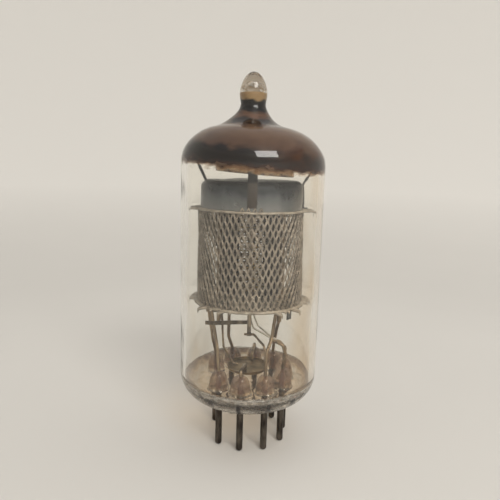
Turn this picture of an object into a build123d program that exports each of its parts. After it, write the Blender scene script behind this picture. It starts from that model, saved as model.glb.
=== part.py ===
from build123d import *
import math
import os

# Miniature nine-pin (noval) screened pentode vacuum tube, in millimetres.
# Z runs up the tube's axis, and z = 0 is the plane that the pin tips stand on.
# Bearings are degrees about the axis: 0 faces the front (-Y), and 90 faces +X.

# ---- base and pins: the standard noval (B9A) pattern ----
pin_radius = 0.508
pin_circle_radius = 5.945
pin_step = 36.0
pin_count = 9
first_pin_bearing = -45.6
pin_length = 6.9
pin_tip_round = 0.42
pin_seal_depth = 1.2
pin_seal_radius = 0.34

# ---- glass ----
bulb_radius = 10.63
bulb_wall = 0.9
corner_width = 3.63
corner_height = 4.1
seam_turn = 17.0
button_thickness = 2.3
rim_slope_width = 1.3
dome_width = 7.03
dome_height = 5.75
dome_turn = 76.0
dome_wall = 0.8
neck_radius = 1.83
tip_radius = 2.02
bore_radius = 1.15
neck_rise = 8.8
tip_bulge_rise = 1.4
tip_taper_radius = 1.555
tip_taper_rise = 3.1
tip_rise = 4.55
bore_rise = 2.2
bore_closing = 1.1
flare_spread = 1.12
flare_drop = 1.9
flare_inset_share = 0.8
bead_foot_radius = 1.6
bead_top_radius = 0.72
bead_height = 2.8

# ---- heights of the electrode assembly ----
wiring_height = 10.25
cage_height = 13.5
cap_height = 4.0
cap_to_shoulder = 2.05

# ---- micas ----
mica_thickness = 0.3
top_mica_rim = 0.25
bottom_mica_rim = 0.65
tooth_length_allowance = 0.05
tooth_half_width = 0.75
tooth_droop = 16.0

# ---- screen, cap and base screen ----
screen_to_bulb = 1.88
screen_wall = 0.12
screen_columns = 32
screen_rows = 9
opening_width = 0.98
opening_height = 2.1
opening_cut_depth = 2.0
screen_margin = 0.79
tab_half_angle = 15.0
tab_rise = 0.65
cap_to_screen = 0.13
cap_wall = 0.2
cap_shoulder = 1.1
base_screen_radius = 3.2
base_screen_thickness = 0.15
base_screen_rim = 0.5
base_screen_drop = 1.05
lug_bearing = 48.0
lug_width = 0.9
lug_thickness = 0.15
lug_drop = 1.6
lug_rise = 2.2
screen_tail_bearing = -134.0

# ---- getter ----
getter_to_bulb = 3.93
getter_channel_width = 0.95
getter_channel_height = 0.9
getter_wall = 0.14
getter_standoff = 0.95
getter_tilt = 3.7
getter_offset = 0.3
strap_width = 1.3
strap_thickness = 0.12
flash_thickness = 0.05
flash_drop = 1.1
strap_knee_drop = 0.1
strap_foot_rise = 0.5
strap_bend = 0.5
spring_width = 0.8
spring_foot = 0.55
spring_waist_drop = 0.6
spring_head_rise = 0.3
spring_head_length = 0.45
spring_bend = 0.2
springs = {
    "left": {"bearing": -112.0, "foot_gap": 0.16, "waist_gap": 0.18},
    "right": {"bearing": 97.0, "foot_gap": 0.45, "waist_gap": 0.2},
}

# ---- cathode, heater, grids and anode ----
cathode_radius = 0.55
cathode_wall = 0.06
cathode_tail = 0.9
cathode_rise = 0.6
cathode_tab_length = 5.85
cathode_tab_gap = 0.1
cathode_link_height = 0.35
heater_radius = 0.13
heater_half_gap = 0.22
grid_rod_radius = 0.3
grid_wire_radius = 0.05
winding_margin = 1.1
grids = {
    "control": {"reach": 1.35, "pitch": 0.4, "tail": 2.55, "ribbon_drop": 2.15},
    "screen": {"reach": 2.4, "pitch": 0.6, "tail": 3.75, "ribbon_drop": 3.0},
    "suppressor": {"reach": 3.3, "pitch": 1.5, "tail": 3.25, "ribbon_drop": 2.85},
}
anode_radius = 4.4
anode_thickness = 0.2
anode_half_angle = 62.0
anode_margin = 1.0
anode_rod_radius = 0.35
anode_rod_tail = 3.65
rod_stub = 1.0

# ---- wires and strips ----
lead_radius = 0.25
seal_wire_radius = 0.3
link_radius = 0.18
ribbon_width = 0.6
ribbon_thickness = 0.12
ribbon_bend = 1.0
ribbon_knee = 0.7
ribbon_end = 0.35

# ---- fits ----
rod_clearance = 0.03
sheet_clearance = 0.05
weld_gap = 0.0

# ---- levels and radii that follow from the sizes above ----
button_top = pin_length + button_thickness
corner_top = pin_length + corner_height
bead_top = button_top + bead_height
bottom_mica_z = bead_top + wiring_height
cage_floor = bottom_mica_z + mica_thickness
top_mica_z = cage_floor + cage_height
cap_foot = top_mica_z + mica_thickness
cap_top = cap_foot + cap_height
shoulder_z = cap_top + cap_to_shoulder
flash_edge = shoulder_z - flash_drop
neck_z = shoulder_z + neck_rise
bulb_bore = bulb_radius - bulb_wall
screen_radius = bulb_bore - screen_to_bulb
screen_bore = screen_radius - screen_wall
cap_radius = screen_bore - cap_to_screen
getter_radius = bulb_bore - getter_to_bulb
anode_rod_reach = anode_radius + anode_rod_radius + weld_gap
overall_height = neck_z + tip_rise

os.makedirs("parts", exist_ok=True)


def around(radius, bearing, z=0.0):
    """The point at a radius and bearing about the tube's axis."""
    angle = math.radians(bearing)
    return Vector(radius * math.sin(angle), -radius * math.cos(angle), z)


def radial_plane(bearing):
    """A vertical plane through the axis: its X runs outwards at the bearing, its Y runs up."""
    return Plane(origin=(0, 0, 0), x_dir=around(1, bearing), z_dir=around(1, bearing - 90))


def low(x, y, rise):
    """A wire's point, measured up from the tops of the glass beads."""
    return Vector(x, y, bead_top + rise)


def above_pin(number, x, y, rise):
    """A wire's point near a pin: offsets from the pin's axis, and the rise above its bead's top."""
    return pin_points[number - 1] + Vector(x, y, bead_top + rise)


def high(x, y, drop):
    """A wire's point, measured down from the bottom mica."""
    return Vector(x, y, bottom_mica_z - drop)


def bent_wire(points, bend, radius):
    """A round wire along straight runs that are joined by arcs."""
    with BuildPart() as wire:
        with BuildLine() as route:
            FilletPolyline(*points, radius=bend)
        with BuildSketch(Plane(origin=points[0], z_dir=points[1] - points[0])):
            Circle(radius)
        sweep(path=route.line)
    return wire


def upright_ribbon(points, bend, middle_z):
    """A flat ribbon on its edge, along points in plan, centred on a height."""
    with BuildPart() as ribbon:
        with BuildSketch(Plane.XY.offset(middle_z - ribbon_width / 2)):
            with BuildLine():
                FilletPolyline(*points, radius=bend)
            trace(line_width=ribbon_thickness)
        extrude(amount=ribbon_width)
    return ribbon


pin_bearings = [first_pin_bearing + pin_step * n for n in range(pin_count)]
pin_points = [around(pin_circle_radius, bearing) for bearing in pin_bearings]


# ---- pins: each one is a straight pin with a rounded tip, sealed into the glass ----
pin_top = pin_length + pin_seal_depth
for number, point in enumerate(pin_points, start=1):
    with BuildPart() as pin:
        with BuildSketch(Plane(origin=point)):
            Circle(pin_radius)
        extrude(amount=pin_length)
        fillet(pin.edges().sort_by(Axis.Z)[0], pin_tip_round)
        with BuildSketch(Plane(origin=point + Vector(0, 0, pin_length))):
            Circle(pin_seal_radius)
        extrude(amount=pin_seal_depth)
    pin.part.label = f"pin_{number}"
    export_step(pin.part, f"parts/pin_{number}.step")

# ---- seal wires: copper-clad wires that join each pin to its inner lead inside the glass ----
with BuildPart() as seal_wires:
    with BuildSketch(Plane.XY.offset(pin_top)):
        with Locations(*pin_points):
            Circle(seal_wire_radius)
    extrude(amount=bead_top - pin_top)
seal_wires.part.label = "seal_wires"
export_step(seal_wires.part, "parts/seal_wires.step")


# ---- base button: the pressed glass floor, with a bead round each seal wire ----
corner_centre = (bulb_radius - corner_width, corner_top)
seam_radius = corner_centre[0] + corner_width * math.cos(math.radians(seam_turn))
seam_z = corner_top - corner_height * math.sin(math.radians(seam_turn))
inner_corner_width = corner_width - bulb_wall
seam_bore = corner_centre[0] + inner_corner_width * math.cos(math.radians(seam_turn))

with BuildPart() as base_button:
    with BuildSketch(Plane.XZ):
        with BuildLine():
            Line((0, pin_length), (corner_centre[0], pin_length))
            EllipticalCenterArc(
                corner_centre, corner_width, corner_height, -90, arc_size=90 - seam_turn
            )
            Line((seam_radius, seam_z), (seam_bore, seam_z))
            Line((seam_bore, seam_z), (seam_bore - rim_slope_width, button_top))
            Line((seam_bore - rim_slope_width, button_top), (0, button_top))
            Line((0, button_top), (0, pin_length))
        make_face()
    revolve(axis=Axis.Z)
    for point in pin_points:
        with BuildSketch(Plane(origin=point + Vector(0, 0, button_top))):
            Circle(bead_foot_radius)
        with BuildSketch(Plane(origin=point + Vector(0, 0, bead_top))):
            Circle(bead_top_radius)
        loft()
    with BuildSketch(Plane.XY.offset(pin_length)):
        with Locations(*pin_points):
            Circle(pin_seal_radius)
    extrude(amount=pin_seal_depth, mode=Mode.SUBTRACT)
    with BuildSketch(Plane.XY.offset(pin_top)):
        with Locations(*pin_points):
            Circle(seal_wire_radius)
    extrude(amount=bead_top - pin_top, mode=Mode.SUBTRACT)
base_button.part.label = "base_button"
export_step(base_button.part, "parts/base_button.step")


# ---- bulb: wall, dome, flared neck and the sealed exhaust tip ----
def dome_line(inset, dome_inset, neck_line_radius, low_z):
    """The dome's section from a height on the straight wall to the foot of the neck.

    The insets shrink it evenly from the outer surface: on the wall, and in the dome's height.
    """
    centre = (bulb_radius - dome_width, shoulder_z)
    width = dome_width - inset
    height = dome_height - dome_inset
    turn = math.radians(dome_turn)
    wall = bulb_radius - inset
    end = (centre[0] + width * math.cos(turn), centre[1] + height * math.sin(turn))
    flare = (neck_line_radius + flare_spread, neck_z - flare_drop - flare_inset_share * dome_inset)
    Line((wall, low_z), (wall, shoulder_z))
    EllipticalCenterArc(centre, width, height, 0, arc_size=dome_turn)
    Spline(
        end,
        flare,
        (neck_line_radius, neck_z),
        tangents=[(-width * math.sin(turn), height * math.cos(turn)), (0, 1)],
    )


with BuildPart() as bulb:
    with BuildSketch(Plane.XZ):
        with BuildLine():
            EllipticalCenterArc(
                corner_centre, corner_width, corner_height, -seam_turn, arc_size=seam_turn
            )
            Line((bulb_radius, corner_top), (bulb_radius, flash_edge))
            dome_line(0, 0, neck_radius, flash_edge)
            Spline(
                (neck_radius, neck_z),
                (tip_radius, neck_z + tip_bulge_rise),
                (tip_taper_radius, neck_z + tip_taper_rise),
                (0, overall_height),
                tangents=[(0, 1), (-1, 0)],
            )
            Line((0, overall_height), (0, neck_z + bore_rise))
            Spline(
                (0, neck_z + bore_rise),
                (bore_radius, neck_z + bore_rise - bore_closing),
                tangents=[(1, 0), (0, -1)],
            )
            Line((bore_radius, neck_z + bore_rise - bore_closing), (bore_radius, neck_z))
            dome_line(bulb_wall, dome_wall, bore_radius, flash_edge)
            Line((bulb_bore, flash_edge), (bulb_bore, corner_top))
            EllipticalCenterArc(
                corner_centre, inner_corner_width, corner_height, 0, arc_size=-seam_turn
            )
            Line((seam_bore, seam_z), (seam_radius, seam_z))
        make_face()
    revolve(axis=Axis.Z)
bulb.part.label = "bulb"
export_step(bulb.part, "parts/bulb.step")

# ---- getter flash: the metal film fired onto the inside of the dome ----
with BuildPart() as getter_flash:
    with BuildSketch(Plane.XZ):
        with BuildLine():
            dome_line(bulb_wall, dome_wall, bore_radius, flash_edge)
            Line((bore_radius, neck_z), (bore_radius - flash_thickness, neck_z))
            dome_line(
                bulb_wall + flash_thickness,
                dome_wall + flash_thickness,
                bore_radius - flash_thickness,
                flash_edge,
            )
            Line((bulb_bore - flash_thickness, flash_edge), (bulb_bore, flash_edge))
        make_face()
    revolve(axis=Axis.Z)
getter_flash.part.label = "getter_flash"
export_step(getter_flash.part, "parts/getter_flash.step")


# ---- what passes through the micas: (point, hole radius) ----
def grid_rod_points(reach):
    return [Vector(0, -reach, 0), Vector(0, reach, 0)]


rod_holes = [(Vector(0, 0, 0), cathode_radius)]
for grid in grids.values():
    rod_holes += [(point, grid_rod_radius) for point in grid_rod_points(grid["reach"])]
anode_rod_points = [Vector(-anode_rod_reach, 0, 0), Vector(anode_rod_reach, 0, 0)]
rod_holes += [(point, anode_rod_radius) for point in anode_rod_points]

lug_radius = screen_bore - lug_thickness / 2 - sheet_clearance


def mica_sheet(floor_z, rim, tooth_bearings, holes, slots, notches):
    """A mica disc with drooping teeth that reach the glass, round holes, ribbon slots and edge notches."""
    mica_radius = screen_radius + rim
    tooth_root = screen_radius + sheet_clearance
    tooth_tip = bulb_bore - tooth_length_allowance
    with BuildPart() as mica:
        with BuildSketch(Plane.XY.offset(floor_z)):
            Circle(mica_radius)
        extrude(amount=mica_thickness)
        for bearing in tooth_bearings:
            droop = math.radians(tooth_droop)
            root = around(tooth_root, bearing, floor_z)
            outwards = around(math.cos(droop), bearing, -math.sin(droop))
            upwards = around(math.sin(droop), bearing, math.cos(droop))
            reach = (tooth_tip - tooth_root) / math.cos(droop)
            reach -= mica_thickness * math.tan(droop)
            with BuildSketch(Plane(origin=root, x_dir=outwards, z_dir=upwards)):
                with BuildLine():
                    Polyline(
                        (0, -tooth_half_width),
                        (reach, 0),
                        (0, tooth_half_width),
                        close=True,
                    )
                make_face()
            extrude(amount=mica_thickness)
        for point, radius in holes:
            with BuildSketch(Plane.XY.offset(floor_z)):
                with Locations(point):
                    Circle(radius + rod_clearance)
            extrude(amount=mica_thickness, mode=Mode.SUBTRACT)
        for bearing, radius, width, thickness in slots:
            with BuildSketch(Plane.XY.offset(floor_z)):
                with Locations(Location(around(radius, bearing), bearing)):
                    Rectangle(width + 2 * sheet_clearance, thickness + 2 * sheet_clearance)
            extrude(amount=mica_thickness, mode=Mode.SUBTRACT)
        for bearing in notches:
            turn = math.radians(tab_half_angle)
            notch_width = 2 * (screen_radius * math.sin(turn) + sheet_clearance)
            notch_floor = screen_bore * math.cos(turn) - sheet_clearance
            with BuildSketch(Plane.XY.offset(floor_z)):
                with Locations(Location(around(mica_radius, bearing), bearing)):
                    Rectangle(notch_width, 2 * (mica_radius - notch_floor))
            extrude(amount=mica_thickness, mode=Mode.SUBTRACT)
    return mica


# ---- inner leads: from each bead's top to the electrode that its pin serves ----
anode_weld_y = anode_rod_radius + lead_radius
lead_routes = {
    1: [above_pin(1, -0.35, 0.51, 3.5), high(-5.87, -2.38, 0)],
    2: [above_pin(2, 0, 0, 0.9), low(-0.5, -2.55, 0.55), low(-0.5, -2.45, -0.75)],
    3: [above_pin(3, 0, 0, 3.4), low(3.5, -3.6, 5.2), high(4.19, -2.8, 0)],
    4: [above_pin(4, 0.38, 0.05, 2.3), low(5.2, -2.5, 3.8), low(3.5, -1.9, 4.4)],
    5: [above_pin(5, 0.02, -0.12, 2.2), low(4.9, 0.45, 3.3), low(3.4, 0.15, 3.6)],
    6: [above_pin(6, 0.1, -0.46, 2.0), high(4.75, anode_weld_y, 3.85), high(4.75, anode_weld_y, 0.4)],
    7: [above_pin(7, 0, 0, 0.9), low(0.5, 2.55, 0.55), low(0.5, 2.45, -0.75)],
    8: [above_pin(8, -0.66, -0.33, 2.2), high(-3.45, 4.3, 2.25)],
    9: [above_pin(9, -0.58, -1.95, 3.3), high(-6.57, -0.08, 0)],
}
lead_bends = {1: 2.5, 2: 0.6, 3: 0.9, 4: 0.7, 5: 0.7, 6: 0.8, 7: 0.6, 8: 1.5, 9: 2.0}
for number, route in lead_routes.items():
    lead = bent_wire([above_pin(number, 0, 0, 0)] + route, lead_bends[number], lead_radius)
    lead.part.label = f"lead_{number}"
    export_step(lead.part, f"parts/lead_{number}.step")

# ---- micas ----
screen_tail_point = around(screen_bore - link_radius - sheet_clearance, screen_tail_bearing)
bottom_holes = rod_holes + [(Vector(screen_tail_point.X, screen_tail_point.Y, 0), link_radius)]
lug_slot = (lug_bearing, lug_radius, lug_width, lug_thickness)
bottom_teeth = [side * turn + back for back in (0, 180) for side in (-1, 1) for turn in (26, 47, 85)]
bottom_mica = mica_sheet(
    bottom_mica_z, bottom_mica_rim, bottom_teeth, bottom_holes, [lug_slot], []
)
bottom_mica.part.label = "bottom_mica"
export_step(bottom_mica.part, "parts/bottom_mica.step")

top_teeth = [side * turn for side in (-1, 1) for turn in (76, 92, 138, 154)]
top_mica = mica_sheet(top_mica_z, top_mica_rim, top_teeth, rod_holes, [], [0, 180])
top_mica.part.label = "top_mica"
export_step(top_mica.part, "parts/top_mica.step")


# ---- screen: a rolled sheet of expanded metal, with a tab through each notch of the top mica ----
def opening_centres():
    """The openings' bearings and heights: staggered rows that fill the cage's height."""
    row_step = (cage_height - 2 * screen_margin) / (screen_rows + 1)
    column_step = 360 / screen_columns
    for row in range(screen_rows):
        height = cage_floor + screen_margin + row_step * (row + 1)
        for column in range(screen_columns):
            yield column_step * (column + 0.5 * (row % 2)), height


def opening_cutter(bearing, height):
    """A pointed prism that cuts one opening through the sheet."""
    outwards = around(1, bearing)
    plane = Plane(
        origin=around(screen_radius - opening_cut_depth / 2, bearing, height),
        x_dir=around(1, bearing + 90),
        z_dir=outwards,
    )
    corners = [(-opening_width / 2, 0), (0, opening_height / 2)]
    corners += [(opening_width / 2, 0), (0, -opening_height / 2)]
    outline = Face(Wire.make_polygon([plane.from_local_coords(corner) for corner in corners]))
    return extrude(outline, amount=opening_cut_depth, dir=outwards, mode=Mode.PRIVATE)


with BuildPart() as screen_mesh:
    with BuildSketch(Plane.XY.offset(cage_floor)):
        Circle(screen_radius)
        Circle(screen_bore, mode=Mode.SUBTRACT)
    extrude(amount=cage_height)
    for bearing in (0, 180):
        with BuildSketch(Plane.XY.offset(top_mica_z)):
            with BuildLine():
                CenterArc((0, 0), screen_radius, bearing - 90 - tab_half_angle, 2 * tab_half_angle)
                CenterArc((0, 0), screen_bore, bearing - 90 - tab_half_angle, 2 * tab_half_angle)
                for edge_bearing in (bearing - tab_half_angle, bearing + tab_half_angle):
                    Line(around(screen_bore, edge_bearing), around(screen_radius, edge_bearing))
            make_face()
        extrude(amount=tab_rise + mica_thickness)
    add([opening_cutter(*centre) for centre in opening_centres()], mode=Mode.SUBTRACT)
screen_mesh.part.label = "screen_mesh"
export_step(screen_mesh.part, "parts/screen_mesh.step")

# ---- screen lug: a strip inside the mesh that hangs through the bottom mica ----
with BuildPart() as screen_lug:
    with BuildSketch(Plane.XY.offset(bottom_mica_z - lug_drop)):
        with Locations(Location(around(lug_radius, lug_bearing), lug_bearing)):
            Rectangle(lug_width, lug_thickness)
    extrude(amount=lug_drop + mica_thickness + lug_rise)
screen_lug.part.label = "screen_lug"
export_step(screen_lug.part, "parts/screen_lug.step")

# ---- screen cap: a shallow inverted cup over the top mica ----
with BuildPart() as screen_cap:
    with BuildSketch(Plane.XY.offset(cap_foot)):
        Circle(cap_radius)
    extrude(amount=cap_height)
    fillet(screen_cap.edges().sort_by(Axis.Z)[-1], cap_shoulder)
    offset(amount=-cap_wall, openings=screen_cap.faces().sort_by(Axis.Z)[0])
screen_cap.part.label = "screen_cap"
export_step(screen_cap.part, "parts/screen_cap.step")

# ---- base screen: a small dish between the beads, joined to pins 2 and 7 ----
base_screen_z = bead_top - base_screen_drop
with BuildPart() as base_screen:
    with BuildSketch(Plane.XY.offset(base_screen_z)):
        Circle(base_screen_radius)
    extrude(amount=base_screen_rim)
    fillet(base_screen.edges().sort_by(Axis.Z)[0], 2 * base_screen_thickness)
    offset(amount=-base_screen_thickness, openings=base_screen.faces().sort_by(Axis.Z)[-1])
base_screen.part.label = "base_screen"
export_step(base_screen.part, "parts/base_screen.step")

# ---- screen tail: the wire that joins the base screen to the mesh ----
dish_floor_rise = base_screen_thickness + link_radius - base_screen_drop
screen_tail = bent_wire(
    [
        low(-1.6, 0.5, dish_floor_rise),
        low(-2.3, 0.55, dish_floor_rise + 0.1),
        low(-3.9, 0.8, 1.9),
        low(-4.3, 2.9, 5.3),
        high(screen_tail_point.X, screen_tail_point.Y, 0.6),
        high(screen_tail_point.X, screen_tail_point.Y, -2.0),
    ],
    0.35,
    link_radius,
)
screen_tail.part.label = "screen_tail"
export_step(screen_tail.part, "parts/screen_tail.step")

# ---- getter: an open channel, tilted a little, on a strap that is welded to the cap ----
getter_z = cap_top + getter_standoff
tilt = math.radians(getter_tilt)
getter_axis = Vector(math.sin(tilt), 0, math.cos(tilt))
getter_plane = Plane(origin=(getter_offset, 0, getter_z), x_dir=(0, -1, 0), z_dir=getter_axis)
with BuildPart() as getter_ring:
    with BuildSketch(getter_plane):
        Circle(getter_radius)
        Circle(getter_radius - getter_channel_width, mode=Mode.SUBTRACT)
    extrude(amount=getter_channel_height)
    with BuildSketch(getter_plane.offset(getter_wall)):
        Circle(getter_radius - getter_wall)
        Circle(getter_radius - getter_channel_width + getter_wall, mode=Mode.SUBTRACT)
    extrude(amount=getter_channel_height, mode=Mode.SUBTRACT)
getter_ring.part.label = "getter_ring"
export_step(getter_ring.part, "parts/getter_ring.step")

strap_reach = getter_radius + strap_thickness / 2 + sheet_clearance
strap_foot = cap_radius + strap_thickness / 2 + weld_gap
with BuildPart() as getter_strap:
    with BuildSketch(Plane.YZ.offset(-strap_width / 2)):
        with BuildLine():
            FilletPolyline(
                (-strap_reach, getter_z + getter_channel_height),
                (-strap_reach, getter_z),
                (-strap_foot, cap_top - strap_knee_drop),
                (-strap_foot, cap_foot + strap_foot_rise),
                radius=strap_bend,
            )
        trace(line_width=strap_thickness)
    extrude(amount=strap_width)
getter_strap.part.label = "getter_strap"
export_step(getter_strap.part, "parts/getter_strap.step")


# ---- bulb springs: strips that stand on the top mica and lean on the glass ----
def bulb_spring(bearing, foot_reach, waist_reach):
    """A strip with a short foot, a leg that runs past the cap and a head that leans on the glass."""
    tip_reach = bulb_bore - strap_thickness - sheet_clearance
    foot_z = cap_foot + strap_thickness / 2
    head_z = shoulder_z + spring_head_rise
    with BuildPart() as spring:
        with BuildSketch(radial_plane(bearing)):
            with BuildLine():
                FilletPolyline(
                    (foot_reach + spring_foot, foot_z),
                    (foot_reach, foot_z),
                    (waist_reach, cap_top - spring_waist_drop),
                    (tip_reach, head_z),
                    (tip_reach, head_z + spring_head_length),
                    radius=spring_bend,
                )
            trace(line_width=strap_thickness)
        extrude(amount=spring_width / 2, both=True)
    return spring


for name, place in springs.items():
    foot_reach = cap_radius + place["foot_gap"]
    spring = bulb_spring(place["bearing"], foot_reach, cap_radius + place["waist_gap"])
    spring.part.label = f"bulb_spring_{name}"
    export_step(spring.part, f"parts/bulb_spring_{name}.step")

# ---- cathode sleeve ----
sleeve_foot = bottom_mica_z - cathode_tail
sleeve_head = cap_foot + cathode_rise
with BuildPart() as cathode_sleeve:
    with BuildSketch(Plane.XY.offset(sleeve_foot)):
        Circle(cathode_radius)
        Circle(cathode_radius - cathode_wall, mode=Mode.SUBTRACT)
    extrude(amount=sleeve_head - sleeve_foot)
cathode_sleeve.part.label = "cathode_sleeve"
export_step(cathode_sleeve.part, "parts/cathode_sleeve.step")

# ---- cathode tab: hangs from the sleeve; the cathode link joins it to lead 3 ----
tab_y = -(cathode_radius + ribbon_thickness / 2 + weld_gap)
tab_foot_drop = cathode_tab_length + cathode_tab_gap
with BuildPart() as cathode_tab:
    with BuildSketch(Plane.XY.offset(bottom_mica_z - tab_foot_drop)):
        with Locations((0, tab_y)):
            Rectangle(ribbon_width, ribbon_thickness)
    extrude(amount=cathode_tab_length)
cathode_tab.part.label = "cathode_tab"
export_step(cathode_tab.part, "parts/cathode_tab.step")

link_y = tab_y - ribbon_thickness / 2 - link_radius
link_drop = tab_foot_drop - cathode_link_height
cathode_link = bent_wire(
    [
        high(-0.75, link_y, link_drop),
        high(0.8, link_y, link_drop),
        low(2.2, -4.1, 4.3),
        low(2.75, -4.95, 3.0),
    ],
    0.4,
    link_radius,
)
cathode_link.part.label = "cathode_link"
export_step(cathode_link.part, "parts/cathode_link.step")

# ---- heater: a coated hairpin inside the sleeve, welded to leads 4 and 5 ----
weld_lift = lead_radius + heater_radius
heater = bent_wire(
    [
        low(4.3, -2.2, 4.15 + weld_lift),
        low(3.4, -1.85, 4.45 + weld_lift),
        low(1.4, -0.35, 5.9),
        high(heater_half_gap, 0, cathode_tail + 0.7),
        high(heater_half_gap, 0, -cage_height),
        high(-heater_half_gap, 0, -cage_height),
        high(-heater_half_gap, 0, cathode_tail + 1.2),
        low(0.7, 0.6, 5.1),
        low(3.2, 0.2, 3.65 + weld_lift),
        low(4.2, 0.3, 3.45 + weld_lift),
    ],
    [0.3, 0.5, 0.5, 0.2, 0.2, 0.5, 0.5, 0.3],
    heater_radius,
)
heater.part.label = "heater"
export_step(heater.part, "parts/heater.step")

# ---- grids: two rods each, with a winding round them ----
for name, grid in grids.items():
    rod_foot = bottom_mica_z - grid["tail"]
    with BuildPart() as rods:
        with BuildSketch(Plane.XY.offset(rod_foot)):
            with Locations(*grid_rod_points(grid["reach"])):
                Circle(grid_rod_radius)
        extrude(amount=cap_foot + rod_stub - rod_foot)
    rods.part.label = f"{name}_grid_rods"
    export_step(rods.part, f"parts/{name}_grid_rods.step")

    winding_radius = grid["reach"] + grid_rod_radius + grid_wire_radius
    winding_foot = cage_floor + winding_margin
    with BuildPart() as winding:
        with BuildLine(Plane.XY.offset(winding_foot)) as turns:
            Helix(grid["pitch"], cage_height - 2 * winding_margin, winding_radius)
        with BuildSketch(Plane(origin=turns.line @ 0, z_dir=turns.line % 0)):
            Circle(grid_wire_radius)
        sweep(path=turns.line, is_frenet=True)
    winding.part.label = f"{name}_grid_winding"
    export_step(winding.part, f"parts/{name}_grid_winding.step")

# ---- anode: two curved plates, each welded to a rod that both micas hold ----
for name, facing, point in zip(("left", "right"), (180, 0), anode_rod_points):
    with BuildPart() as plate:
        with BuildSketch(Plane.XY.offset(cage_floor + anode_margin)):
            with BuildLine():
                CenterArc(
                    (0, 0),
                    anode_radius - anode_thickness / 2,
                    facing - anode_half_angle,
                    2 * anode_half_angle,
                )
            trace(line_width=anode_thickness)
        extrude(amount=cage_height - 2 * anode_margin)
    plate.part.label = f"anode_{name}"
    export_step(plate.part, f"parts/anode_{name}.step")

    with BuildPart() as anode_rod:
        with BuildSketch(Plane.XY.offset(bottom_mica_z - anode_rod_tail)):
            with Locations(point):
                Circle(anode_rod_radius)
        extrude(amount=anode_rod_tail + mica_thickness + cage_height + mica_thickness + rod_stub)
    anode_rod.part.label = f"anode_rod_{name}"
    export_step(anode_rod.part, f"parts/anode_rod_{name}.step")

# ---- ribbons between the grids' rods and their leads ----
# Each entry is the grid, the side of the axis its ribbon passes (-1 is the front), and the ribbon's outer run.
ribbon_runs = [
    ("screen", -1, [(-6.45, -3.25), (-4.7, -3.25)]),
    ("control", 1, [(-6.8, 0.45), (-5.4, 0.45)]),
    ("suppressor", 1, [(-3.8, 4.0), (-2.9, 4.0)]),
]
for name, side, outer_run in ribbon_runs:
    rod_face = side * (grids[name]["reach"] + grid_rod_radius + ribbon_thickness / 2)
    ribbon = upright_ribbon(
        outer_run + [(-ribbon_knee, rod_face), (ribbon_end, rod_face)],
        ribbon_bend,
        bottom_mica_z - grids[name]["ribbon_drop"],
    )
    ribbon.part.label = f"{name}_grid_ribbon"
    export_step(ribbon.part, f"parts/{name}_grid_ribbon.step")
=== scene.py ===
import math
import random

import bmesh
import bpy
from mathutils import Matrix, Vector, noise


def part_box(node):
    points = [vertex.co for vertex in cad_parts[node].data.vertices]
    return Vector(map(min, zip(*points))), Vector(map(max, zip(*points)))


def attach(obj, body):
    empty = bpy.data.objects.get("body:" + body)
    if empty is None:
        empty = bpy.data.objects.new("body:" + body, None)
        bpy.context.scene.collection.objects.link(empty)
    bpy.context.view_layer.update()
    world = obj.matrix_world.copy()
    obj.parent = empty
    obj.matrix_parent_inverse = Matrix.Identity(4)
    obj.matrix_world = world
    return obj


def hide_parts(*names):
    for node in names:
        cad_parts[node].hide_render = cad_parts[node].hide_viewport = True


# A miniature nine-pin vacuum tube. Sizes are in millimetres, and meshes are written in metres.
# A bearing is an angle about the tube's axis: 0 faces the front (-Y), and a quarter turn faces +X.
# It is in radians where a lathe shapes a point, and in degrees everywhere else.
MM = 0.001
ON_AXIS = 1e-6  # a point at a smaller radius than this is on the axis
ROUND = 160  # the points in a ring of the bulb, and of the film that lies on it
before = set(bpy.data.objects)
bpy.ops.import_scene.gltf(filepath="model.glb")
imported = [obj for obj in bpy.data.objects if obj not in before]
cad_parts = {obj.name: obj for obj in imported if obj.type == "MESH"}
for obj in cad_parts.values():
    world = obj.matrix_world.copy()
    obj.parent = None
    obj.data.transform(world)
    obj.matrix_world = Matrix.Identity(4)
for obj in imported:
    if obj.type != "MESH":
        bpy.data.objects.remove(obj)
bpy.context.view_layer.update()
random.seed(9)


# ---- sizes ----
def span(node):
    """The lowest and highest corner of a CAD node."""
    low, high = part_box(node)
    return low / MM, high / MM


bulb_high = span("bulb")[1]
button_low, button_high = span("base_button")
film_low, film_high = span("getter_flash")
mesh_low, mesh_high = span("screen_mesh")
upper_mica_top = span("top_mica")[1].z
lower_mica_top = span("bottom_mica")[1].z

bulb_radius = bulb_high.x
tip_z = bulb_high.z
button_floor = button_low.z
bead_top = button_high.z
neck_z = film_high.z
film_hang = 1.1
shoulder_z = film_low.z + film_hang
screen_radius = mesh_high.x
pin_count = 9
pin_centres = [sum(span(f"pin_{n + 1}"), Vector()) / 2 for n in range(pin_count)]

# The glass. Its lower corner and its dome are parts of ellipses: corner and dome are their centres.
wall, dome_wall = 0.9, 0.8
bore = bulb_radius - wall
corner_width, corner_height = 3.63, 4.1
corner = (bulb_radius - corner_width, button_floor + corner_height)
dome_width, dome_height, dome_turn = 7.03, 5.75, 76
dome = (bulb_radius - dome_width, shoulder_z)
neck_radius, tip_radius, neck_bore = 1.83, 2.02, 1.3
tip_rise = 1.4
bore_end = neck_z + 1.8

# Bulb and base meet where the corner has this many degrees left to turn, and overlap by a hair.
seam_turn, seam_overlap = 9, 0.02
seam_z = corner[1] - corner_height * math.sin(math.radians(seam_turn))

# The base's floor and the beads on it. A bead is flat from its middle as far out as its crown.
button_top = button_floor + 2.3
bead_radius, bead_crown = 1.5, 0.25
bead_height = bead_top - button_top

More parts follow.
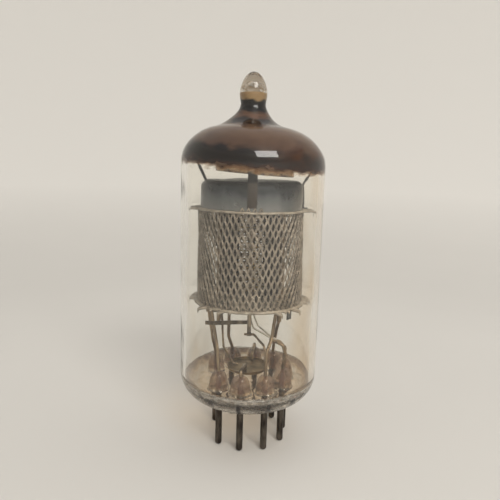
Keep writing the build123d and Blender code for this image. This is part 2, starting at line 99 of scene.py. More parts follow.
# The micas, and the screen between them with its tabs' half width in degrees.
mica_thickness = 0.3
top_mica_radius = screen_radius + 0.25
bottom_mica_radius = screen_radius + 0.65
screen_foot, screen_roof = mesh_low.z, upper_mica_top - mica_thickness / 2
columns, rows = 58, 16
tab_angle = 2 * 360 / columns


# ---- outlines: (radius, height) points that a lathe turns about the axis ----
def arc(centre, width, height, start, turn, steps):
    """Points along an ellipse, from an angle in degrees through a turn."""
    angles = [math.radians(start + turn * n / steps) for n in range(steps + 1)]
    return [(centre[0] + width * math.cos(a), centre[1] + height * math.sin(a)) for a in angles]


def curve(start, start_pull, end, end_pull, steps):
    """Points along a smooth curve that leaves and arrives along its two pulls."""
    points = []
    for n in range(steps + 1):
        t = n / steps
        blend = (2 * t**3 - 3 * t**2 + 1, t**3 - 2 * t**2 + t, -2 * t**3 + 3 * t**2, t**3 - t**2)
        parts = (start, start_pull, end, end_pull)
        points.append(tuple(sum(b * p[axis] for b, p in zip(blend, parts)) for axis in (0, 1)))
    return points


def straight(start, end, steps):
    """Points along a straight line."""
    return [
        tuple(start[axis] + (end[axis] - start[axis]) * n / steps for axis in (0, 1))
        for n in range(steps + 1)
    ]


def joined(*runs):
    """One outline from runs, each of which starts where the one before it ends."""
    outline = list(runs[0])
    for run in runs[1:]:
        outline += run[1:]
    return outline


def outer_outline():
    """The bulb's outside, from the seam up to the exhaust tip."""
    dome_arc = arc(dome, dome_width, dome_height, 0, dome_turn, 28)
    neck, tip_foot = (neck_radius, neck_z), (tip_radius, neck_z + tip_rise)
    return joined(
        arc(corner, corner_width, corner_height, -seam_turn, seam_turn, 6),
        straight((bulb_radius, corner[1]), (bulb_radius, shoulder_z), 40),
        dome_arc,
        curve(dome_arc[-1], (-4.9, 1.0), neck, (0, 3.32), 20),
        curve(neck, (0, tip_rise), tip_foot, (0, tip_rise), 8),
        curve(tip_foot, (0, 3.0), (0, tip_z), (-4.0, 0), 16),
    )


def inner_outline(inset=0.0):
    """The bulb's inside, from the seam up to the foot of the neck's bore, or a line inset from it."""
    width, height = dome_width - wall - inset, dome_height - dome_wall - inset
    dome_arc = arc(dome, width, height, 0, dome_turn, 28)
    return joined(
        arc(corner, corner_width - wall - inset, corner_height, -seam_turn, seam_turn, 6),
        straight((bore - inset, corner[1]), (bore - inset, shoulder_z), 40),
        dome_arc,
        curve(dome_arc[-1], (-6.7, 1.36), (neck_bore - inset, neck_z), (0, 5.4), 20),
    )


# ---- mesh helpers ----
def lean(z):
    """How far the drawn dome and neck stand off the axis at a height. It is negative, to the left."""
    dome_lean, neck_lean = 0.2, 0.35
    rise = min(max((z - shoulder_z - 0.6) / 3, 0), 1)
    smooth_rise = rise * rise * (3 - 2 * rise)
    neck_foot = math.exp(-(((z - shoulder_z - 6) / 1.3) ** 2))
    return -dome_lean * smooth_rise - neck_lean * neck_foot


def smoothed(name, mesh, material):
    """An object with a smooth mesh of one material."""
    mesh.polygons.foreach_set("use_smooth", [True] * len(mesh.polygons))
    mesh.materials.append(material)
    made = bpy.data.objects.new(name, mesh)
    bpy.context.scene.collection.objects.link(made)
    return made


def finish_piece(name, mesh, slot, node):
    """Makes a piece that has a slot's finish, rides on the tube and stands for a CAD node."""
    piece = smoothed(name, mesh, finishes[slot])
    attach(piece, "root")
    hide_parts(node)
    return piece


def mesh_from(name, points, faces):
    """A mesh from points in millimetres, with its faces turned to point outwards."""
    mesh = bpy.data.meshes.new(name)
    mesh.from_pydata([Vector(p) * MM for p in points], [], faces)
    work = bmesh.new()
    work.from_mesh(mesh)
    bmesh.ops.recalc_face_normals(work, faces=work.faces)
    work.to_mesh(mesh)
    work.free()
    return mesh


def lathe(outline, turns, closed, shape=None, centre=(0, 0)):
    """The points and faces of an outline turned about an axis. A closed one ends where it starts.

    shape gives a point's radius and height from its index in the outline, radius, bearing and height.
    """
    points, faces, rings = [], [], []
    for index, (radius, height) in enumerate(outline):
        count = 1 if radius < ON_AXIS else turns
        rings.append([len(points) + n for n in range(count)])
        for n in range(count):
            bearing = 2 * math.pi * n / turns
            r, z = shape(index, radius, bearing, height) if shape else (radius, height)
            points.append((centre[0] + r * math.sin(bearing), centre[1] - r * math.cos(bearing), z))
    for low, high in zip(rings, rings[1:] + rings[:1] if closed else rings[1:]):
        if len(low) == 1 and len(high) == 1:
            continue
        for n in range(turns):
            m = (n + 1) % turns
            corners = [low[n % len(low)], low[m % len(low)], high[m % len(high)], high[n % len(high)]]
            faces.append(list(dict.fromkeys(corners)))
    return points, faces


def merged(groups):
    """One list of points and faces from several."""
    points, faces = [], []
    for more_points, more_faces in groups:
        start = len(points)
        points += more_points
        faces += [[start + corner for corner in face] for face in more_faces]
    return points, faces


# ---- materials ----
def tone(code):
    """A linear colour from a hex code."""
    channels = [int(code[n : n + 2], 16) / 255 for n in (0, 2, 4)]
    return tuple(c / 12.92 if c <= 0.04045 else ((c + 0.055) / 1.055) ** 2.4 for c in channels) + (1,)


class Finish:
    """A material with a Principled shader, and short ways to feed its sockets from procedural nodes."""

    def __init__(self, name, **settings):
        self.material = bpy.data.materials.new(name)
        self.material.use_nodes = True
        self.tree = self.material.node_tree
        self.shader = self.tree.nodes["Principled BSDF"]
        self.output = self.tree.nodes["Material Output"]
        self.place = self.add("ShaderNodeTexCoord").outputs["Object"]
        for socket, value in settings.items():
            self.shader.inputs[socket.replace("_", " ")].default_value = value

    def add(self, kind, values=None, **settings):
        """A new node. Each of its inputs in values gets a number or a colour, or a link to a socket."""
        node = self.tree.nodes.new(kind)
        for key, value in settings.items():
            setattr(node, key, value)
        for key, value in (values or {}).items():
            if isinstance(value, bpy.types.NodeSocket):
                self.tree.links.new(value, node.inputs[key])
            else:
                node.inputs[key].default_value = value
        return node

    def feed(self, socket, source):
        """Links a value or a colour to one of the shader's sockets."""
        self.tree.links.new(source, self.shader.inputs[socket])

    def noise(self, size, detail=4.0, stretch=(1, 1, 1)):
        """Noise whose features are about this size in millimetres, stretched along the axes."""
        scaled = self.add("ShaderNodeMapping", {"Vector": self.place, "Scale": stretch})
        values = {"Vector": scaled.outputs["Vector"], "Scale": 1 / (size * MM), "Detail": detail}
        return self.add("ShaderNodeTexNoise", values).outputs["Fac"]

    def ramp(self, source, *stops):
        """Colours at places from 0 to 1 along a value."""
        node = self.add("ShaderNodeValToRGB", {"Fac": source})
        elements = node.color_ramp.elements
        while len(elements) < len(stops):
            elements.new(0.5)
        for element, (place, colour) in zip(elements, stops):
            element.position = place
            element.color = tone(colour) if isinstance(colour, str) else (colour,) * 3 + (1,)
        return node.outputs["Color"]

    def scaled(self, source, low, high, new_low, new_high):
        """A value that goes from new_low to new_high while its source goes from low to high."""
        values = {"Value": source, 1: low, 2: high, 3: new_low, 4: new_high}
        return self.add("ShaderNodeMapRange", values).outputs["Result"]

    def maths(self, operation, first, second):
        """The result of an operation on two values."""
        node = self.add("ShaderNodeMath", {0: first, 1: second}, operation=operation)
        return node.outputs["Value"]

    def mixed(self, factor, first, second):
        """One colour or another, by a factor from 0 to 1. The node's colours are its sockets 6 and 7."""
        node = self.add("ShaderNodeMix", {0: factor, 6: first, 7: second}, data_type="RGBA")
        return node.outputs[2]

    def parts(self):
        """The point's coordinates in metres, as three values."""
        return self.add("ShaderNodeSeparateXYZ", {"Vector": self.place}).outputs

    def off_axis(self):
        """The point's distance from the tube's axis, in metres."""
        flat = self.add("ShaderNodeMapping", {"Vector": self.place, "Scale": (1, 1, 0)})
        values = {0: flat.outputs["Vector"]}
        return self.add("ShaderNodeVectorMath", values, operation="LENGTH").outputs["Value"]

    def bump(self, source, depth):
        """Relief of this depth in millimetres."""
        values = {"Height": source, "Distance": depth * MM, "Strength": 1.0}
        self.feed("Normal", self.add("ShaderNodeBump", values).outputs["Normal"])


def metal(name, dark, light, rough, size=1.2, stretch=(1, 1, 1), metallic=1.0, relief=0.01):
    """Worn metal: two tones in patches, with uneven gloss and fine relief."""
    finish = Finish(name, Metallic=metallic)
    patches = finish.noise(size, 6, stretch)
    finish.feed("Base Color", finish.ramp(patches, (0.35, dark), (0.65, light)))
    finish.feed("Roughness", finish.scaled(finish.noise(size * 0.4, 3, stretch), 0.3, 0.7, *rough))
    finish.bump(finish.noise(size * 0.15, 4, stretch), relief)
    return finish.material


def clear_to_lamps(finish):
    """Glass that lets the lamps' light through, so what is inside is lit."""
    ray = finish.add("ShaderNodeLightPath").outputs["Is Shadow Ray"]
    clear = finish.add("ShaderNodeBsdfTransparent", {"Color": tone("f4f0ea")}).outputs["BSDF"]
    values = {0: ray, 1: finish.shader.outputs["BSDF"], 2: clear}
    mixed = finish.add("ShaderNodeMixShader", values).outputs["Shader"]
    finish.tree.links.new(mixed, finish.output.inputs["Surface"])


def bulb_glass():
    """Clear glass, faintly tan in patches low down and on the right, and smoky in the exhaust tip."""
    finish = Finish("clear_glass", Transmission_Weight=1.0, IOR=1.5)
    height = finish.parts()["Z"]
    low_down = finish.scaled(height, 30 * MM, 12 * MM, 0.0, 0.1)
    to_right = finish.scaled(finish.parts()["X"], 3 * MM, bulb_radius * MM, -0.05, 0.25)
    where = finish.maths("ADD", low_down, to_right)
    stain = finish.maths("ADD", finish.noise(4.5, 5, (1, 1, 0.5)), where)
    wall_tint = finish.ramp(stain, (0.55, "fbfaf6"), (0.95, "efe2cf"))
    at_tip = finish.scaled(height, (neck_z + 1.2) * MM, (neck_z + 2.2) * MM, 0.0, 1.0)
    finish.feed("Base Color", finish.mixed(at_tip, wall_tint, tone("c2b6a6")))
    finish.feed("Roughness", finish.scaled(finish.noise(2.2, 6), 0.45, 0.75, 0.0, 0.07))
    finish.bump(finish.noise(3.0, 2, (1, 1, 0.3)), 0.02)
    clear_to_lamps(finish)
    return finish.material


def base_glass():
    """The pressed floor: clear, brown in the beads round the copper, and mottled grey at its rim."""
    finish = Finish("base_glass", Transmission_Weight=1.0, IOR=1.52)
    height = finish.parts()["Z"]
    in_bead = finish.scaled(height, (button_top + 0.1) * MM, (button_top + 0.8) * MM, 0.0, 0.6)
    patches = finish.scaled(finish.noise(1.1, 5), 0.3, 0.7, 0.0, 0.4)
    stain = finish.maths("ADD", patches, in_bead)
    glass = finish.ramp(stain, (0.15, "eee0cc"), (0.45, "ceb28e"), (0.85, "7b6150"))
    cloudy = finish.scaled(height, (button_top + 0.1) * MM, (button_top + 0.7) * MM, 1.0, 0.62)
    finish.feed("Transmission Weight", cloudy)
    under = finish.scaled(height, (button_top - 0.1) * MM, (button_top - 0.5) * MM, 0.0, 1.0)
    off_axis = finish.off_axis()
    outwards = finish.scaled(off_axis, 7.4 * MM, 8.8 * MM, 0.0, 1.0)
    outer_skin = finish.scaled(off_axis, 9.85 * MM, 10.15 * MM, 0.0, 1.0)
    rim = finish.maths("MAXIMUM", finish.maths("MULTIPLY", outwards, under), outer_skin)
    mottle = finish.scaled(finish.noise(0.7, 6, (1, 1, 2.5)), 0.38, 0.6, 0.0, 1.0)
    grey = finish.ramp(mottle, (0.2, "8d867b"), (0.8, "dcd7cd"))
    finish.feed("Base Color", finish.mixed(rim, glass, grey))
    smooth = finish.scaled(finish.noise(1.0, 5), 0.4, 0.75, 0.0, 0.12)
    ground = finish.maths("MULTIPLY", rim, finish.scaled(mottle, 0.0, 1.0, 0.3, 0.1))
    finish.feed("Roughness", finish.maths("ADD", smooth, ground))
    finish.bump(finish.noise(1.3, 3), 0.06)
    clear_to_lamps(finish)
    return finish.material


def getter_film():
    """Fired brown film with painted reflections in bands: near black above its sloping lower edge, paler
    brown higher up, and painted shade and a painted glint on the neck's cone; it has a tan fringe.
    """
    finish = Finish("getter_film", Specular_IOR_Level=0.15)
    parts = finish.parts()
    to_right = finish.maths("MULTIPLY", parts["X"], 0.075)
    slope = finish.maths("ADD", to_right, finish.maths("MULTIPLY", parts["Y"], -0.04))
    ragged = finish.scaled(finish.noise(1.6, 7, (1, 1, 2.2)), 0.25, 0.75, -0.55 * MM, 0.55 * MM)
    level = finish.maths("ADD", finish.maths("ADD", parts["Z"], slope), ragged)
    edge = shoulder_z - 0.45
    height = finish.scaled(level, edge * MM, tip_z * MM, 0.0, 1.0)

    def share(z):
        """A height in millimetres as a share of the way from the film's edge to the tip."""
        return (z - edge) / (tip_z - edge)

    # The film's tone by height: its own tan fringe at the edge, then painted reflections, a near-black
    # band of the darker room low on the dome and a paler brown band of the bright light above it, painted
    # shade where the dome meets the neck's cone, a painted glint on the cone, and the film's own dark and
    # tan up the neck's bore.
    colour = finish.ramp(
        height,
        (0.0, "e0c39a"),
        (share(edge + 0.4), "9a7148"),
        (share(edge + 0.8), "3a2114"),
        (share(shoulder_z + 0.9), "120b0a"),
        (share(shoulder_z + 2.2), "17100e"),
        (share(shoulder_z + 2.8), "523c2e"),
        (share(shoulder_z + 4.9), "6b5342"),
        (share(shoulder_z + 5.5), "2a1c15"),
        (share(shoulder_z + 6.2), "1c120d"),
        (share(shoulder_z + 6.9), "64452f"),
        (share(neck_z - 1.1), "100a08"),
        (share(neck_z + 0.5), "0b0706"),
        (share(neck_z + 0.95), "9a7f5a"),
    )
    on_right = finish.scaled(parts["X"], 1.5 * MM, 6 * MM, 0.0, 1.0)
    below = finish.scaled(height, share(shoulder_z + 3.6), share(shoulder_z + 2.6), 0.0, 1.0)
    above = finish.scaled(height, share(shoulder_z + 0.8), share(shoulder_z + 2.0), 0.15, 1.0)
    band = finish.maths("MULTIPLY", below, above)
    patchy = finish.scaled(finish.noise(2.5, 4), 0.3, 0.5, 0.1, 1.0)
    rust = finish.maths("MULTIPLY", finish.maths("MULTIPLY", on_right, band), patchy)
    finish.feed("Base Color", finish.mixed(rust, colour, tone("452409")))
    finish.feed("Roughness", finish.scaled(finish.noise(3.0, 5), 0.3, 0.7, 0.3, 0.5))
    thin = finish.ramp(height, (0.0, 0.0), (share(edge + 0.4), 0.45), (share(edge + 0.9), 1.0))
    finish.feed("Alpha", thin)
    finish.bump(finish.noise(0.5, 5), 0.008)
    return finish.material


def paint():
    """The backdrop's plain warm grey, with painted light that makes it a little paler above the floor."""
    finish = Finish("backdrop_grey", Roughness=0.9)
    grey = finish.ramp(finish.noise(60, 2), (0.3, "d5d2cd"), (0.7, "d8d5d0"))
    # Painted light: the wall is painted paler than the floor, in place of the brighter light that falls
    # on it.
    painted_light_up_wall = finish.scaled(finish.parts()["Z"], 0.0, 25 * MM, 0.0, 1.0)
    finish.feed("Base Color", finish.mixed(painted_light_up_wall, grey, tone("ebe8e3")))
    return finish.material


def copper():
    """Copper-clad wire, dark with oxide low down in the glass."""
    finish = Finish("seal_copper", Metallic=0.8, Roughness=0.45)
    height = finish.parts()["Z"]
    clean = finish.scaled(height, (button_top - 0.2) * MM, (button_top + 0.6) * MM, 0.0, 1.0)
    patches = finish.ramp(finish.noise(0.8, 6, (1, 1, 0.15)), (0.35, "85503f"), (0.65, "b3705c"))
    finish.feed("Base Color", finish.mixed(clean, tone("2b2320"), patches))
    return finish.material


def cap_finish():
    """Dark grey sheet, blue-black on the shoulder."""
    finish = Finish("cap_metal", Metallic=0.8)
    low, high = span("screen_cap")
    height = finish.scaled(finish.parts()["Z"], low.z * MM, high.z * MM, 0.0, 1.0)
    uneven = finish.scaled(finish.noise(2.5, 4, (1, 1, 0.3)), 0.3, 0.7, -0.12, 0.12)
    colour = finish.ramp(
        finish.maths("ADD", height, uneven),
        (0.0, "7f8182"),
        (0.4, "5c6165"),
        (0.65, "2a3036"),
        (1.0, "12161b"),
    )
    finish.feed("Base Color", colour)
    finish.feed("Roughness", finish.scaled(finish.noise(1.5, 3), 0.3, 0.7, 0.25, 0.42))
    return finish.material


up_grain = (1, 1, 0.15)
own_finishes = {
    "base_screen": metal("dish_metal", "6f6047", "a08c6c", (0.3, 0.5), 1.5),
    "getter_strap": metal("strap_metal", "241f1d", "4a423c", (0.3, 0.5), 1.5, up_grain),
    "screen_cap": cap_finish(),
}
finishes = {
    "clear_glass": bulb_glass(),
    "base_glass": base_glass(),
    "getter_film": getter_film(),
    "getter_metal": metal("getter_metal", "2e2621", "917b60", (0.12, 0.35), 0.9),
    "dull_nickel": metal("dull_nickel", "4b443b", "8a7f6f", (0.3, 0.5), 1.2, up_grain),
    "dark_nickel": metal("dark_nickel", "474a4c", "666a6d", (0.28, 0.45), 3.0, up_grain, 0.8),
    "mica": metal("mica", "7f776b", "a69d90", (0.35, 0.65), 1.4, metallic=0.0, relief=0.03),
    "screen_metal": metal("screen_metal", "766e63", "a59b8e", (0.35, 0.6), 1.5, metallic=0.55),
    "wire_metal": metal("wire_metal", "675a4b", "a7957d", (0.25, 0.5), 1.0, up_grain),
    "cathode_nickel": metal("cathode_nickel", "5d564e", "8c8377", (0.3, 0.5), 1.0, up_grain),
    "heater_coating": metal("heater_coating", "cfcac0", "e8e4da", (0.7, 0.9), 0.5, metallic=0.0),
    "seal_copper": copper(),
    "grid_metal": metal("grid_metal", "6b6258", "a29685", (0.25, 0.45), 1.0, up_grain),
    "grid_wire": metal("grid_wire", "8a7550", "b59c6e", (0.2, 0.35), 0.6),
    "anode_metal": metal("anode_metal", "201e1d", "383532", (0.45, 0.7), 1.5, up_grain, 0.5),
    "pin_metal": metal("pin_metal", "332e2a", "655e56", (0.28, 0.55), 0.9, (1, 1, 0.35), 0.9, 0.02),
}


# ---- glass ----
def bulb():
    """The drawn envelope, with a slightly uneven wall and a crackled end to the neck's bore."""
    outer = outer_outline()
    inner = joined(
        inner_outline(),
        straight((neck_bore, neck_z), (neck_bore, bore_end), 6),
        curve((neck_bore, bore_end), (0, 1.3), (0, bore_end + 1.1), (-1.6, 0), 10),
    )
    outline = outer + inner[::-1]

    def shape(index, radius, bearing, height):
        inside = index >= len(outer)
        across, ahead = math.sin(bearing), math.cos(bearing)
        if inside and height > bore_end - 0.1 and radius > ON_AXIS:
            crackle = 0.22 * noise.noise(Vector((2.5 * across, 2.5 * ahead, 4 * height)))
            return radius + crackle, height + (crackle if height > bore_end else 0)
        if radius < 2.2 or (inside and height > shoulder_z - 2):
            return radius, height
        where = Vector((3 * across, 3 * ahead, 0.25 * height))
        if inside:
            return radius + 0.05 * noise.noise(where + Vector((7, 0, 0))), height
        return radius + 0.015 * noise.noise(where), height

    points, faces = lathe(outline, ROUND, True, shape)
    points = [(x + lean(z), y, z) for x, y, z in points]
    finish_piece("bulb_glass", mesh_from("bulb_glass", points, faces), "clear_glass", "bulb")


def button():
    """The pressed floor, with a bell-shaped bead round each lead."""
    seam_radius = corner[0] + corner_width * math.cos(math.radians(seam_turn))
    seam_bore = corner[0] + (corner_width - wall) * math.cos(math.radians(seam_turn))
    seam_top = seam_z + seam_overlap
    floor_edge, inside_beads = seam_bore - 1.8, 2.6
    corner_arc = arc(corner, corner_width, corner_height, -90, 90 - seam_turn, 20)
    outside = joined(
        [(0, button_floor), (2, button_floor)],
        straight((2, button_floor), corner_arc[0], 6),
        [(r, min(z, seam_top)) for r, z in corner_arc],
        straight((seam_radius, seam_top), (seam_bore, seam_top), 3),
        curve((seam_bore, seam_top), (-0.5, -0.9), (floor_edge, button_top), (-1.8, 0), 8),
    )
    outline = joined(
        outside,
        straight((floor_edge, button_top), (inside_beads, button_top), 46),
        straight((inside_beads, button_top), (0, button_top), 3),
    )

    def shape(index, radius, bearing, height):
        if index < len(outside) - 1:
            return radius, height
        where = Vector((radius * math.sin(bearing), -radius * math.cos(bearing)))
        rise = 0
        for centre in pin_centres:
            off = (where - centre.xy).length
            share = min(max((off - bead_crown) / (bead_radius - bead_crown), 0), 1)
            bell = (1 - share**3.6) ** 0.75
            skirt = 0.05 * math.exp(-(((off - bead_radius) / 0.45) ** 2))
            rise = max(rise, bead_height * bell + skirt * (1 - bell))
        return radius, height + rise

    mesh = mesh_from("button_glass", *lathe(outline, 288, False, shape))
    finish_piece("button_glass", mesh, "base_glass", "base_button")


def seals():
    """The copper-clad wire in each bead, which tapers upwards."""
    foot, waist, head = (0.3, button_floor + 1.2), (0.26, button_top + 0.7), (0.22, bead_top - 0.1)
    outline = joined(
        [(0, foot[1]), foot],
        curve(foot, (0, 1.2), waist, (0, 1.2), 6),
        curve(waist, (0, 1.2), head, (0, 0.8), 6),
        [head, (0, head[1])],
    )
    wires = [lathe(outline, 20, False, centre=centre.xy) for centre in pin_centres]
    mesh = mesh_from("seal_cores", *merged(wires))
    finish_piece("seal_cores", mesh, "seal_copper", "seal_wires")


def film():
    """The fired film in the dome and up the neck's bore, with half of its thickness in the glass."""
    half_thickness = 0.03
    edge, top = shoulder_z - 1.15, neck_z + 1.6

    def face(inset):
        """One of its two faces, from the lower edge up, at an inset from the glass's inner surface."""
        below, side = bore - inset, neck_bore - inset
        whole = joined(inner_outline(inset), straight((side, neck_z), (side, top), 4))
        above = [point for point in whole if point[1] > shoulder_z + 0.01]
        return straight((below, edge), (below, shoulder_z), 8) + above

    outline = face(-half_thickness) + face(half_thickness)[::-1]
    points, faces = lathe(outline, ROUND, True)
    points = [(x + lean(z), y, z) for x, y, z in points]
    finish_piece("getter_film", mesh_from("getter_film", points, faces), "getter_film", "getter_flash")


# ---- screen: expanded metal, rolled up ----
def add_cell(sheet, middle, width, height):
    """One diamond cell of a flat sheet, with a pointed opening and strands that are slightly twisted."""
    sides, strand, power = 16, 0.155, 1.5
    half_width, half_height = width / 2 - strand * 1.35, height / 2 - strand * 1.75
    rim, lip = [], []
    for n in range(sides):
        angle = 2 * math.pi * n / sides
        c, s = math.cos(angle), math.sin(angle)
        reach = 1 / (abs(c) / (width / 2) + abs(s) / (height / 2))
        hole = (abs(c / half_width) ** power + abs(s / half_height) ** power) ** (-1 / power)
        twist = 0.07 * (1 if s > 0.1 else -1 if s < -0.1 else 0)
        rim.append(sheet.verts.new(middle + Vector((reach * c, reach * s, 0))))
        lip.append(sheet.verts.new(middle + Vector((hole * c, hole * s, twist))))
    for n in range(sides):
        m = (n + 1) % sides
        sheet.faces.new((rim[n], rim[m], lip[m], lip[n]))


def trim(sheet):
    """Cuts a flat sheet off at the lower mica, and at the upper one leaves only two tabs."""
    for level, cut_off in ((screen_foot, True), (screen_roof, False)):
        bmesh.ops.bisect_plane(
            sheet,
            geom=sheet.verts[:] + sheet.edges[:] + sheet.faces[:],
            plane_co=(0, level, 0),
            plane_no=(0, 1, 0),
            clear_inner=cut_off,
        )
    waste = []
    for face in sheet.faces:
        middle = face.calc_center_median()
        bearing = (math.degrees(middle.x / screen_radius) + 180) % 360 - 180
        turned = min(abs(bearing), 180 - abs(bearing))
        if middle.y > screen_roof and turned > tab_angle:
            waste.append(face)
    bmesh.ops.delete(sheet, geom=waste, context="FACES")


def roll(sheet):
    """Rolls a flat sheet up round the axis, unevenly and a little wider at its foot."""
    inset, flare, ripple = 0.06, 0.22, 0.06
    for vert in sheet.verts:
        share = min(max((vert.co.y - screen_foot) / (screen_roof - screen_foot), 0), 1)
        radius = screen_radius - inset + flare * (1 - share) ** 2 + vert.co.z
        radius += ripple * noise.noise(Vector((vert.co.x * 0.25, vert.co.y * 0.2, 1)))
        bearing = vert.co.x / screen_radius
        vert.co = Vector((radius * math.sin(bearing), -radius * math.cos(bearing), vert.co.y)) * MM


def screen():
    """The screen: staggered rows of cells, cut to the micas and rolled round the cage."""
    row_height = (mesh_high.z - screen_foot) / rows
    cell_width, same_point = 2 * math.pi * screen_radius / columns, 0.02
    sheet = bmesh.new()
    for row in range(-1, rows):
        for column in range(columns):
            across = (column + 0.5 * (row % 2)) * cell_width
            middle = Vector((across, screen_foot + row * row_height, 0))
            add_cell(sheet, middle, cell_width, 2 * row_height)
    bmesh.ops.remove_doubles(sheet, verts=sheet.verts, dist=same_point)
    trim(sheet)
    roll(sheet)
    bmesh.ops.remove_doubles(sheet, verts=sheet.verts, dist=same_point * MM)
    bmesh.ops.recalc_face_normals(sheet, faces=sheet.faces)
    mesh = bpy.data.meshes.new("screen_sheet")
    sheet.to_mesh(mesh)
    sheet.free()
    piece = finish_piece("screen_sheet", mesh, "screen_metal", "screen_mesh")
    thick = piece.modifiers.new("thickness", "SOLIDIFY")
    thick.thickness = 0.1 * MM
    thick.offset = 0


# ---- micas ----
def mica(name, node, top_z, rim, teeth):
    """A disc with torn teeth, each a bearing, half its width and its drop, and a splinter beside each."""
    low = top_z - mica_thickness
    outline = joined(
        [(0, low), (3, low)],
        straight((3, low), (rim, low), 3),
        [(rim, low), (rim + 0.05, (low + top_z) / 2), (rim, top_z)],
        straight((rim, top_z), (3, top_z), 3),
        [(3, top_z), (0, top_z)],
    )

    def shape(index, radius, bearing, height):
        if radius < rim - 0.1:
            return radius, height
        ragged = noise.noise(Vector((9 * math.sin(bearing), 9 * math.cos(bearing), top_z)))
        return radius + 0.12 * ragged, height + 0.08 * ragged

    groups = [lathe(outline, 180, False, shape)]
    for bearing, half_width, drop in teeth:
        groups.append(tooth(bearing, top_z, rim, 1.0, half_width, drop))
        beside = bearing + random.choice((-9, 9))
        length = random.uniform(0.3, 0.5)
        groups.append(tooth(beside, top_z, rim, length, 0.5 * half_width, 0.4 * drop))
    finish_piece(name, mesh_from(name, *merged(groups)), "mica", node)


def tooth(bearing, top_z, rim, length, half_width, drop):
    """A hooked spike of mica from the disc's rim, which nearly touches the glass if its length is 1."""
    steps, rooted, clearance, blunt = 12, 0.6, 0.1, 0.08
    reach = rooted + (bore - clearance - rim) * length
    twist = random.uniform(-0.3, 0.3)
    turn = math.radians(bearing)
    outwards = Vector((math.sin(turn), -math.cos(turn), 0))
    across = Vector((math.cos(turn), math.sin(turn), 0))
    points, faces = [], []
    for n in range(steps + 1):
        t = n / steps
        out = rim - rooted + reach * math.sin(t * math.pi / 2) ** 0.9
        down = 0.12 * t + drop * t**5
        half = half_width * (1 - t) ** 1.2 + blunt
        thick = mica_thickness * (1 - 0.45 * t)
        centre = outwards * out + across * twist * t * t
        for side, level in ((-1, 0), (1, 0), (1, -1), (-1, -1)):
            lift = 0.1 * noise.noise(Vector((bearing + side, n * 0.6, top_z)))
            spot = centre + across * side * half
            points.append((spot.x, spot.y, top_z - down + level * thick + lift * t))
    faces.append([0, 1, 2, 3])
    for a in range(0, 4 * steps, 4):
        for k in range(4):
            j = (k + 1) % 4
            faces.append([a + k, a + j, a + 4 + j, a + 4 + k])
    faces.append([4 * steps + k for k in (3, 2, 1, 0)])
    return points, faces


# ---- CAD pieces that stay as they are get a finish: their slot's, or for three of them their own ----
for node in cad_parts.values():
    for place in node.material_slots:
        place.material = finishes[place.material.name.split(".")[0]]
for name, material in own_finishes.items():
    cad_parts[name].material_slots[0].material = material

# ---- pieces drawn here ----
bulb()
button()
seals()
film()
screen()
lower_teeth = [
    (side * bearing + half_turn, half_width, drop)
    for half_turn in (0, 180)
    for side in (-1, 1)
    for bearing, half_width, drop in ((26, 0.55, 0.45), (47, 0.7, 0.5), (85, 1.3, 1.0))
]
upper_teeth = [
    (side * bearing, half_width, drop)
    for side, drop in ((-1, 0.6), (1, 1.0))
    for bearing, half_width in ((76, 1.2), (92, 1.3), (138, 0.8), (154, 0.7))
]
mica("lower_mica", "bottom_mica", lower_mica_top, bottom_mica_radius, lower_teeth)
mica("upper_mica", "top_mica", upper_mica_top, top_mica_radius, upper_teeth)


# ---- stage, camera and lights ----
def stage():
    """A pale round floor that curves up into a backdrop all round."""
    flat, rise, rim = 120, 440, 480
    outline = joined(
        [(0, 0), (40, 0)],
        straight((40, 0), (flat, 0), 6),
        arc((flat, rise), rise, rise, -90, 90, 24),
        [(flat + rise, rise), (flat + rise, rim)],
    )
    points, faces = lathe(outline, 96, False)
    mesh = bpy.data.meshes.new("backdrop")
    mesh.from_pydata([Vector(p) * MM for p in points], [], faces)
    smoothed("backdrop", mesh, paint())


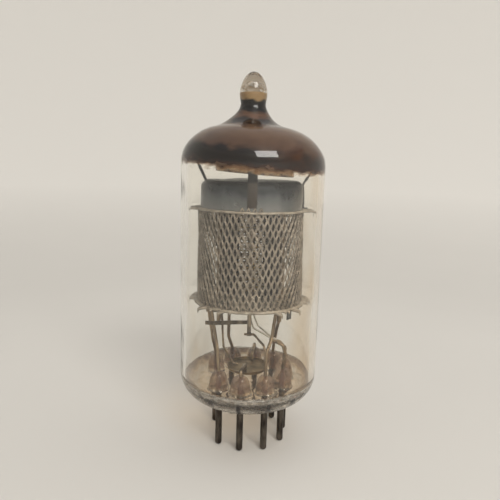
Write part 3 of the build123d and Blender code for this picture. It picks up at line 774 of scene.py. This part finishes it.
def camera():
    """A camera in front of the tube, which looks slightly down and is tilted a little to one side."""
    place, lens, sensor = Vector((0, -74.6, 43.2)), 35.77, 36
    yaw, pitch, roll = (math.radians(angle) for angle in (-0.10, 10.21, 1.50))
    ahead = Vector(
        (math.sin(yaw) * math.cos(pitch), math.cos(yaw) * math.cos(pitch), -math.sin(pitch))
    )
    level = ahead.cross(Vector((0, 0, 1))).normalized()
    above = level.cross(ahead)
    right = level * math.cos(roll) + above * math.sin(roll)
    up = above * math.cos(roll) - level * math.sin(roll)
    data = bpy.data.cameras.new("camera")
    data.sensor_width = sensor
    data.lens = lens
    data.clip_start = 1 * MM
    data.clip_end = 10000 * MM
    viewer = bpy.data.objects.new("camera", data)
    bpy.context.scene.collection.objects.link(viewer)
    matrix = Matrix((right, up, -ahead)).transposed().to_4x4()
    matrix.translation = place * MM
    viewer.matrix_world = matrix
    bpy.context.scene.camera = viewer


def lamp(name, bearing, elevation, distance, size, power, colour):
    """A soft rectangular lamp that faces the tube, with its power in watts."""
    data = bpy.data.lights.new(name, "AREA")
    data.shape = "RECTANGLE"
    data.size, data.size_y = (side * MM for side in size)
    data.energy = power
    data.color = tone(colour)[:3]
    light = bpy.data.objects.new(name, data)
    bpy.context.scene.collection.objects.link(light)
    turn, rise = math.radians(bearing), math.radians(elevation)
    towards = Vector(
        (math.sin(turn) * math.cos(rise), -math.cos(turn) * math.cos(rise), math.sin(rise))
    )
    target = Vector((0, 0, shoulder_z)) * MM
    light.location = target + towards * distance * MM
    light.rotation_euler = towards.to_track_quat("Z", "Y").to_euler()
    return light


def room():
    """The even, pale light of the room round the tube."""
    world = bpy.data.worlds.new("room")
    world.use_nodes = True
    background = world.node_tree.nodes["Background"]
    background.inputs["Color"].default_value = tone("fbfaf7")
    background.inputs["Strength"].default_value = 0.62
    bpy.context.scene.world = world


def light_paths():
    """Plain colours, and enough bounces for light to cross the glass several times."""
    scene = bpy.context.scene
    scene.view_settings.view_transform = "Standard"
    scene.cycles.max_bounces = 24
    scene.cycles.transmission_bounces = 20
    scene.cycles.transparent_max_bounces = 24
    scene.cycles.glossy_bounces = 8
    scene.cycles.diffuse_bounces = 6


stage()
camera()
lamp("window", 25, 41, 450, (225, 150), 0.95, "fffcf7")
lamp("ceiling", 110, 72, 600, (500, 500), 0.4, "fffcf8").visible_glossy = False
room()
light_paths()
